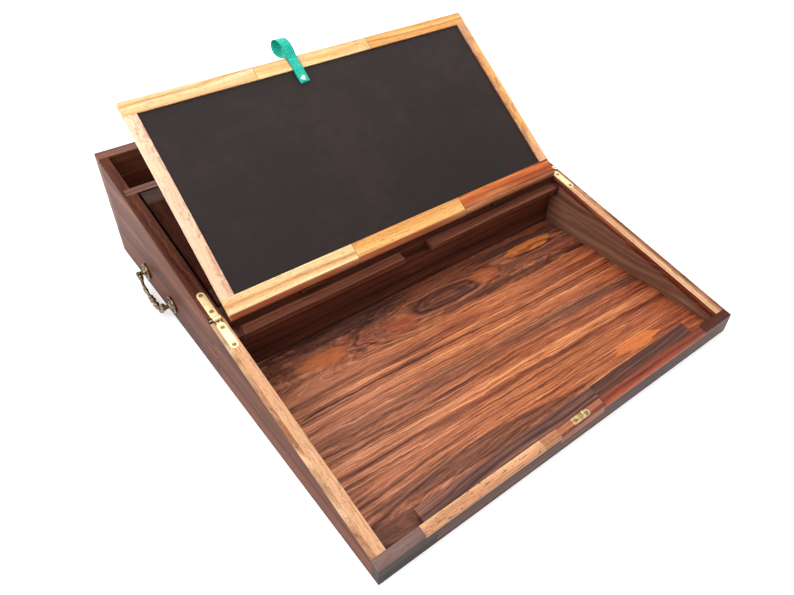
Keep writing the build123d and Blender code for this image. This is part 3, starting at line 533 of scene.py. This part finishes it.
def leather_material(name, seed, dark=(30, 20, 18), middle=(38, 26, 25), light=(48, 35, 34)):
    """Worn leather with fine grain and cloudy patches."""
    kit = Kit(name)
    where = kit.scaled(kit.coords, (1, 1, 1), (seed, seed * 0.7, seed * 0.3))
    cloud = kit.noise(where, 9.0, 4.0, 0.6, 0.4)
    rub = kit.noise(kit.scaled(where, (40, 60, 60)), 1.0, 6.0, 0.7, 1.2)
    tone = kit.math("MULTIPLY_ADD", kit.math("SUBTRACT", rub, 0.5), 0.6, cloud)
    colour = kit.ramp(tone, (0.30, srgb(*dark)), (0.5, srgb(*middle)), (0.72, srgb(*light)))
    cells = kit.tree.nodes.new("ShaderNodeTexVoronoi")
    cells.feature = "DISTANCE_TO_EDGE"
    kit.put(cells.inputs["Vector"], where)
    cells.inputs["Scale"].default_value = 950.0
    pebble = kit.step(cells.outputs["Distance"], 0.0, 0.22)
    fine = kit.noise(where, 420.0, 3.0, 0.6)
    height = kit.math("MULTIPLY_ADD", fine, 0.8, pebble)
    # The grain's creases are darkened: painted shade.
    colour = kit.mix(kit.math("MULTIPLY", kit.math("SUBTRACT", 1.0, pebble), 0.25), colour, srgb(22, 17, 17))
    rough = kit.math("MULTIPLY_ADD", tone, 0.22, 0.46)
    normal = kit.bump(height, 0.25, 0.0002)
    return kit.surface(Base_Color=colour, Roughness=rough, Normal=normal, Specular_IOR_Level=0.19)


def metal(name, clean, dull, amount, rough, edge=0.0004, corner=0.35, scale=420.0):
    """Brass with tarnish in its corners and fine scratches."""
    kit = Kit(name)
    patina = kit.noise(kit.coords, scale, 4.0, 0.6)
    spots = kit.step(patina, 0.45, 0.7)
    colour = kit.mix(kit.math("MULTIPLY", spots, amount), clean, dull)
    dirt_and_corner_shade = kit.crevice(0.0022, corner)
    colour = kit.mix(1.0, colour, kit.combine(dirt_and_corner_shade, dirt_and_corner_shade, dirt_and_corner_shade), "MULTIPLY")
    scratch = kit.noise(kit.scaled(kit.coords, (300, 3000, 3000)), 1.0, 2.0, 0.6)
    shine = kit.math("MULTIPLY_ADD", spots, 0.14, rough)
    normal = kit.bump(kit.math("ADD", scratch, patina), 0.10, 0.0002, kit.rounded(edge))
    return kit.surface(Base_Color=colour, Metallic=1.0, Roughness=shine, Normal=normal)


black_leather = leather_material("black_leather", 0.4)
top_leather = leather_material("top_leather", 1.9)
brown_leather = leather_material("brown_leather", 2.7, (66, 34, 25), (84, 45, 33), (104, 58, 43))
bright_brass = metal("bright_brass", srgb(238, 216, 168), srgb(200, 168, 116), 0.45, 0.34, scale=160.0)
striker_brass = metal("striker_brass", srgb(204, 184, 138), srgb(112, 90, 58), 0.75, 0.36, corner=0.1)
# Flap hinge leaves: bronze made dark so that they read as the black shadow gap they sit in (painted shade).
shade_dark_bronze = metal("shade_dark_bronze", srgb(74, 52, 36), srgb(40, 28, 22), 0.7, 0.5)
screw_brass = metal("screw_brass", srgb(166, 138, 92), srgb(72, 54, 34), 0.7, 0.30, corner=0.05)
old_brass = metal("old_brass", srgb(136, 120, 94), srgb(22, 18, 15), 0.95, 0.20, 0.0005, 0.05, 500.0)
plain_steel = metal("plain_steel", srgb(176, 172, 166), srgb(110, 104, 98), 0.5, 0.34)
tack_metal = metal("tack_metal", srgb(240, 240, 232), srgb(196, 200, 190), 0.4, 0.22)


def silk(name):
    """Turquoise ribbon with fine cross ribs and a paler thread edge."""
    kit = Kit(name)
    cloth = kit.tree.nodes.new("ShaderNodeUVMap").outputs[0]
    split = kit.tree.nodes.new("ShaderNodeSeparateXYZ")
    kit.put(split.inputs[0], cloth)
    ribs = kit.math("SINE", kit.math("MULTIPLY", split.outputs["Y"], 2 * pi / 0.0006))
    threads = kit.math("SINE", kit.math("MULTIPLY", split.outputs["X"], 2 * pi / 0.0005))
    weave = kit.math("MULTIPLY_ADD", threads, 0.5, ribs)
    slub = kit.noise(kit.scaled(cloth, (260, 900, 1)), 1.0, 3.0, 0.6)
    tone = kit.math("MULTIPLY_ADD", weave, 0.06, slub)
    colour = kit.ramp(tone, (0.3, srgb(0, 142, 122)), (0.5, srgb(0, 184, 158)), (0.75, srgb(52, 216, 190)))
    edge = kit.step(kit.math("ABSOLUTE", split.outputs["X"]), 0.0044, 0.0050)
    colour = kit.mix(kit.math("MULTIPLY", edge, 0.6), colour, srgb(0, 96, 92))
    normal = kit.bump(weave, 0.35, 0.00015)
    return kit.surface(Base_Color=colour, Roughness=0.42, Normal=normal, Sheen_Weight=0.08,
                       Specular_IOR_Level=0.25)


ribbon_silk = silk("ribbon_silk")


def dress(material, *names):
    """Give CAD nodes one finish."""
    for name in names:
        mesh = nodes[name].data
        mesh.materials.clear()
        mesh.materials.append(material)


dress(tray_wood, "lid_bottom_board")
dress(lid_left_out, "lid_left_side")
dress(right_wall, "lid_right_side")
dress(side_out, "base_left_side", "base_right_side")
dress(front_out, "lid_front_board")
dress(back_out, "base_back_board")
dress(drawer_face, "drawer_front")
dress(inner_wood, "lid_mid_board", "base_front_board", "well_partitions")
dress(inner_flat, "base_bottom_board", "drawer_shelf", "drawer_guide", "pen_tray", "drawer_near_side",
      "drawer_far_side", "drawer_back", "drawer_bottom", "flap_panel", "rear_flap_panel")
dress(ledge_wood, "lid_flap_ledges", "base_flap_ledges")
dress(front_ledge_wood, "lid_front_ledge")
dress(rim_pale, "lid_side_lippings")
dress(front_rim, "lid_front_lippings")
dress(block_wood, "striker_block")
dress(rim_red, "base_side_lippings")
dress(divider_wood, "compartment_divider")
dress(hinge_rail_wood, "flap_hinge_rail")
dress(free_rail_wood, "flap_free_rail")
dress(stile_wood, "flap_stiles")
dress(rear_flap_shaded_wood, "rear_flap_stiles")
dress(rear_rail_wood, "rear_flap_hinge_rail", "rear_flap_free_rail")
dress(black_leather, "flap_lining")
dress(top_leather, "flap_leather")
dress(brown_leather, "rear_flap_leather")
dress(bright_brass, "base_hinge_leaves", "lid_hinge_leaves", "lock_case")
dress(striker_brass, "striker_plate")
dress(shade_dark_bronze, "base_flap_hinge_leaves", "rear_flap_hinge_leaves", "lid_flap_hinge_leaves",
      "flap_hinge_leaves")
dress(screw_brass, "base_hinge_screws", "lid_hinge_screws", "striker_screws", "lock_screws")
dress(old_brass, "handle_posts", "handle_bail", "escutcheon")
dress(plain_steel, "base_hinge_pins", "flap_hinge_pins", "lock_bolt")
dress(tack_metal, "ribbon_tack")
dress(ribbon_silk, "ribbon_pull")


# --- Mesh kit ---
def make_object(name, mesh, material, body):
    """Link one piece, give it its finish and let it ride on a body."""
    made = bpy.data.objects.new(name, mesh)
    mesh.materials.append(material)
    bpy.context.collection.objects.link(made)
    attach(made, body)
    return made


def tube(name, points, radii, material, body, sides=14, flat=1.0):
    """Round bar through points, with a radius at each, closed at both ends."""
    grid = bmesh.new()
    rings = []
    side = Vector((1, 0, 0))
    for i, point in enumerate(points):
        ahead = points[min(i + 1, len(points) - 1)] - points[max(i - 1, 0)]
        ahead.normalize()
        side = (side - ahead * side.dot(ahead)).normalized()
        other = ahead.cross(side)
        ring = []
        for k in range(sides):
            a = 2 * pi * k / sides
            ring.append(grid.verts.new(point + side * cos(a) * radii[i] * flat + other * sin(a) * radii[i]))
        rings.append(ring)
    for a, b in zip(rings, rings[1:]):
        for k in range(sides):
            grid.faces.new((a[k], a[(k + 1) % sides], b[(k + 1) % sides], b[k]))
    grid.faces.new(tuple(reversed(rings[0])))
    grid.faces.new(tuple(rings[-1]))
    bmesh.ops.recalc_face_normals(grid, faces=grid.faces)
    mesh = bpy.data.meshes.new(name)
    grid.to_mesh(mesh)
    grid.free()
    for face in mesh.polygons:
        face.use_smooth = True
    return make_object(name, mesh, material, body)


def lathe(name, profile, centre, axis, material, body, sides=40):
    """Turned piece: profile is (radius, distance along axis)."""
    axis = Vector(axis)
    side = axis.orthogonal().normalized()
    other = axis.cross(side)
    grid = bmesh.new()
    rings = []
    for radius, along in profile:
        ring = []
        for k in range(sides):
            a = 2 * pi * k / sides
            ring.append(grid.verts.new(centre + axis * along + (side * cos(a) + other * sin(a)) * radius))
        rings.append(ring)
    for a, b in zip(rings, rings[1:] + rings[:1]):
        for k in range(sides):
            grid.faces.new((a[k], a[(k + 1) % sides], b[(k + 1) % sides], b[k]))
    bmesh.ops.recalc_face_normals(grid, faces=grid.faces)
    mesh = bpy.data.meshes.new(name)
    grid.to_mesh(mesh)
    grid.free()
    for face in mesh.polygons:
        face.use_smooth = True
    return make_object(name, mesh, material, body)


def curve_points(controls, steps):
    """Smooth Catmull-Rom points through (position, radius) controls."""
    points = []
    radii = []
    spots = [controls[0]] + list(controls) + [controls[-1]]
    for i in range(1, len(spots) - 2):
        (p0, r0), (p1, r1), (p2, r2), (p3, r3) = spots[i - 1:i + 3]
        for k in range(steps):
            t = k / steps
            w0 = -0.5 * t + t * t - 0.5 * t ** 3
            w1 = 1 - 2.5 * t * t + 1.5 * t ** 3
            w2 = 0.5 * t + 2 * t * t - 1.5 * t ** 3
            w3 = -0.5 * t * t + 0.5 * t ** 3
            points.append(p0 * w0 + p1 * w1 + p2 * w2 + p3 * w3)
            radii.append(max(r0 * w0 + r1 * w1 + r2 * w2 + r3 * w3, 0.0002))
    points.append(controls[-1][0])
    radii.append(controls[-1][1])
    return points, radii


# --- Drawer handle: turned rings on the rosettes, and a cast bail with a beaded middle ---
HANDLE_Y = 0.00925
POST_Z = 0.0185
POST_HALF = 0.030
EYE_X = -0.2087
BAIL_WEIGHT = 1.15
PIVOT_RADIUS = 0.00108
for side, label in ((-1, "near"), (1, "far")):
    centre = Vector((-0.2, HANDLE_Y + side * POST_HALF, POST_Z))
    lathe(f"rosette_rim_{label}",
          ((0.0066, 0.0015), (0.0070, 0.0021), (0.0077, 0.0023), (0.0083, 0.0020), (0.0084, 0.0008),
           (0.0080, 0.0002), (0.0062, 0.0002), (0.0062, 0.0010)),
          centre, (-1, 0, 0), old_brass, "drawer")
    lathe(f"post_collar_{label}",
          ((0.0019, 0.0052), (0.0024, 0.0050), (0.0027, 0.0042), (0.0027, 0.0036), (0.0035, 0.0030),
           (0.0046, 0.0022), (0.0050, 0.0015), (0.0019, 0.0014)),
          centre, (-1, 0, 0), old_brass, "drawer")
    lathe(f"post_tip_{label}",
          ((0.0017, 0.01085), (0.0022, 0.01085), (0.00245, 0.0102), (0.0022, 0.0098), (0.0017, 0.0098)),
          centre, (-1, 0, 0), old_brass, "drawer", 28)


def at_bail(side, along, z, out=0.0):
    """Point on the bail: along from its middle, at height z, out from its plane."""
    return Vector((EYE_X - out, HANDLE_Y + side * along, z))


half = (
    (0.0329, 0.0185, 0.0, PIVOT_RADIUS), (0.0276, 0.0185, 0.0, PIVOT_RADIUS), (0.0268, 0.0185, 0.0, 0.0017),
    (0.0258, 0.0180, 0.0, 0.0022), (0.0252, 0.0160, 0.0, 0.0019), (0.0250, 0.0135, 0.0, 0.0013),
    (0.0240, 0.0105, 0.0002, 0.0012), (0.0215, 0.0080, 0.0004, 0.0014), (0.0180, 0.0062, 0.0004, 0.0018),
    (0.0150, 0.0052, 0.0003, 0.0014), (0.0120, 0.0044, 0.0002, 0.0013), (0.0098, 0.0041, 0.0, 0.0021),
    (0.0082, 0.0040, 0.0, 0.0022), (0.0068, 0.0039, 0.0, 0.0013), (0.0048, 0.0039, 0.0, 0.0024),
    (0.0026, 0.0039, 0.0, 0.0024), (0.0014, 0.0039, 0.0, 0.0015),
)
half = [(a, z, out, r if r == PIVOT_RADIUS else r * BAIL_WEIGHT) for a, z, out, r in half]
controls = [(at_bail(-1, a, z, out), r) for a, z, out, r in half]
controls += [(at_bail(1, a, z, out), r) for a, z, out, r in reversed(half)]
bail_points, bail_radii = curve_points(controls, 5)
bail = tube("bail_cast", bail_points, bail_radii, old_brass, "bail", 16)
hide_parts("handle_bail")

# --- Ribbon pull: one length of ribbon doubled over, held by the tack ---
RIBBON_X = -0.0210
RIBBON_WIDTH = 0.0102
route = (
    (0.0, 0.1755, -0.0001), (0.0, 0.1790, 0.0000), (-0.0002, 0.1850, 0.0004),
    (-0.0004, 0.1900, 0.0011), (-0.0006, 0.1960, 0.0011), (-0.0008, 0.2020, 0.0014),
    (-0.0012, 0.2070, 0.0034), (-0.0022, 0.2130, 0.0052), (-0.0036, 0.2190, 0.0046),
    (-0.0044, 0.2225, 0.0014), (-0.0050, 0.2230, -0.0030), (-0.0054, 0.2200, -0.0064),
    (-0.0052, 0.2150, -0.0076), (-0.0040, 0.2095, -0.0060), (-0.0024, 0.2050, -0.0026),
    (-0.0014, 0.2020, 0.0006), (-0.0008, 0.1960, 0.0005), (-0.0006, 0.1900, 0.0004),
    (-0.0004, 0.1850, -0.0004), (-0.0001, 0.1790, -0.0008), (0.0002, 0.1750, -0.0008),
)
ribbon_line, _ = curve_points([(Vector((x, v, n)), 0.001) for x, v, n in route], 6)
ribbon_points = [on_flap(RIBBON_X + p.x, p.y, p.z) for p in ribbon_line]
grid = bmesh.new()
ACROSS = 8
rows = []
along = [0.0]
for a, b in zip(ribbon_points, ribbon_points[1:]):
    along.append(along[-1] + (b - a).length)
for i, point in enumerate(ribbon_points):
    ahead = ribbon_points[min(i + 1, len(ribbon_points) - 1)] - ribbon_points[max(i - 1, 0)]
    ahead.normalize()
    side = Vector((1, 0, 0))
    side = (side - ahead * side.dot(ahead)).normalized()
    rows.append([grid.verts.new(point + side * RIBBON_WIDTH * (k / ACROSS - 0.5)) for k in range(ACROSS + 1)])
places = grid.loops.layers.uv.new("UVMap")
for i, (a, b) in enumerate(zip(rows, rows[1:])):
    for k in range(ACROSS):
        face = grid.faces.new((a[k], a[k + 1], b[k + 1], b[k]))
        face.smooth = True
        for loop, row, column in zip(face.loops, (i, i, i + 1, i + 1), (k, k + 1, k + 1, k)):
            loop[places].uv = (RIBBON_WIDTH * (column / ACROSS - 0.5), along[row])
ribbon_mesh = bpy.data.meshes.new("ribbon_loop")
grid.to_mesh(ribbon_mesh)
grid.free()
ribbon = make_object("ribbon_loop", ribbon_mesh, ribbon_silk, "front_flap")
skin = ribbon.modifiers.new("skin", "SOLIDIFY")
skin.thickness = 0.0003
skin.offset = 0.0
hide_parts("ribbon_pull")
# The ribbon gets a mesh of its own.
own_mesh(ribbon)

# --- Floor, light and background ---
floor_grid = bmesh.new()
bmesh.ops.create_grid(floor_grid, x_segments=8, y_segments=8, size=6.0)
floor_mesh = bpy.data.meshes.new("floor")
floor_grid.to_mesh(floor_mesh)
floor_grid.free()
floor = bpy.data.objects.new("floor", floor_mesh)
floor.location.z = -0.0003
bpy.context.collection.objects.link(floor)
floor_kit = Kit("floor_paper")
paths = floor_kit.tree.nodes.new("ShaderNodeLightPath")
seen = floor_kit.math("ADD", paths.outputs["Is Camera Ray"], paths.outputs["Is Glossy Ray"], clamp=True)
seen = floor_kit.math("ADD", seen, paths.outputs["Is Transmission Ray"], clamp=True)
paper = floor_kit.node("ShaderNodeBsdfDiffuse", Color=(0.86, 0.86, 0.86, 1.0))
FLOOR_GLOW = 0.34
glow_strength = floor_kit.math("MULTIPLY", seen, FLOOR_GLOW)
glow = floor_kit.node("ShaderNodeEmission", Color=(1.0, 1.0, 1.0, 1.0), Strength=glow_strength)
both = floor_kit.tree.nodes.new("ShaderNodeAddShader")
floor_kit.put(both.inputs[0], paper.outputs[0])
floor_kit.put(both.inputs[1], glow.outputs[0])
floor_kit.put(floor_kit.output.inputs["Surface"], both.outputs[0])
floor_mesh.materials.append(floor_kit.material)

world = bpy.data.worlds.new("studio")
bpy.context.scene.world = world
world.use_nodes = True
world_tree = world.node_tree
world_tree.nodes.clear()
sky = world_tree.nodes.new("ShaderNodeBackground")
sky.inputs["Color"].default_value = (0.95, 0.97, 1.0, 1.0)
sky.inputs["Strength"].default_value = 0.62
white = world_tree.nodes.new("ShaderNodeBackground")
white.inputs["Color"].default_value = (1.0, 1.0, 1.0, 1.0)
white.inputs["Strength"].default_value = 1.0
world_paths = world_tree.nodes.new("ShaderNodeLightPath")
camera_or_gloss = world_tree.nodes.new("ShaderNodeMath")
camera_or_gloss.operation = "MAXIMUM"
world_tree.links.new(world_paths.outputs["Is Camera Ray"], camera_or_gloss.inputs[0])
world_tree.links.new(world_paths.outputs["Is Glossy Ray"], camera_or_gloss.inputs[1])
seen_white = world_tree.nodes.new("ShaderNodeMath")
seen_white.operation = "MAXIMUM"
world_tree.links.new(camera_or_gloss.outputs[0], seen_white.inputs[0])
world_tree.links.new(world_paths.outputs["Is Transmission Ray"], seen_white.inputs[1])
choose = world_tree.nodes.new("ShaderNodeMixShader")
world_tree.links.new(seen_white.outputs[0], choose.inputs[0])
world_tree.links.new(sky.outputs[0], choose.inputs[1])
world_tree.links.new(white.outputs[0], choose.inputs[2])
world_out = world_tree.nodes.new("ShaderNodeOutputWorld")
world_tree.links.new(choose.outputs[0], world_out.inputs["Surface"])


def softbox(name, place, aim, size, power, tint=(1.0, 1.0, 1.0)):
    """Square area lamp pointed at aim."""
    lamp = bpy.data.lights.new(name, "AREA")
    lamp.shape = "RECTANGLE"
    lamp.size = size[0]
    lamp.size_y = size[1]
    lamp.energy = power
    lamp.color = tint
    holder = bpy.data.objects.new(name, lamp)
    holder.location = place
    direction = Vector(aim) - Vector(place)
    holder.rotation_euler = direction.to_track_quat("-Z", "Y").to_euler()
    bpy.context.collection.objects.link(holder)
    return holder


softbox("key_back_right", (0.9, 1.1, 1.5), (0.0, -0.1, 0.05), (1.6, 1.2), 19.0)
softbox("key_left", (-1.5, -0.2, 1.2), (0.0, -0.1, 0.05), (1.2, 1.2), 20.0)
softbox("overhead", (0.0, -0.3, 1.9), (0.0, -0.1, 0.0), (1.8, 1.8), 16.0)

bpy.context.scene.view_settings.view_transform = "Standard"
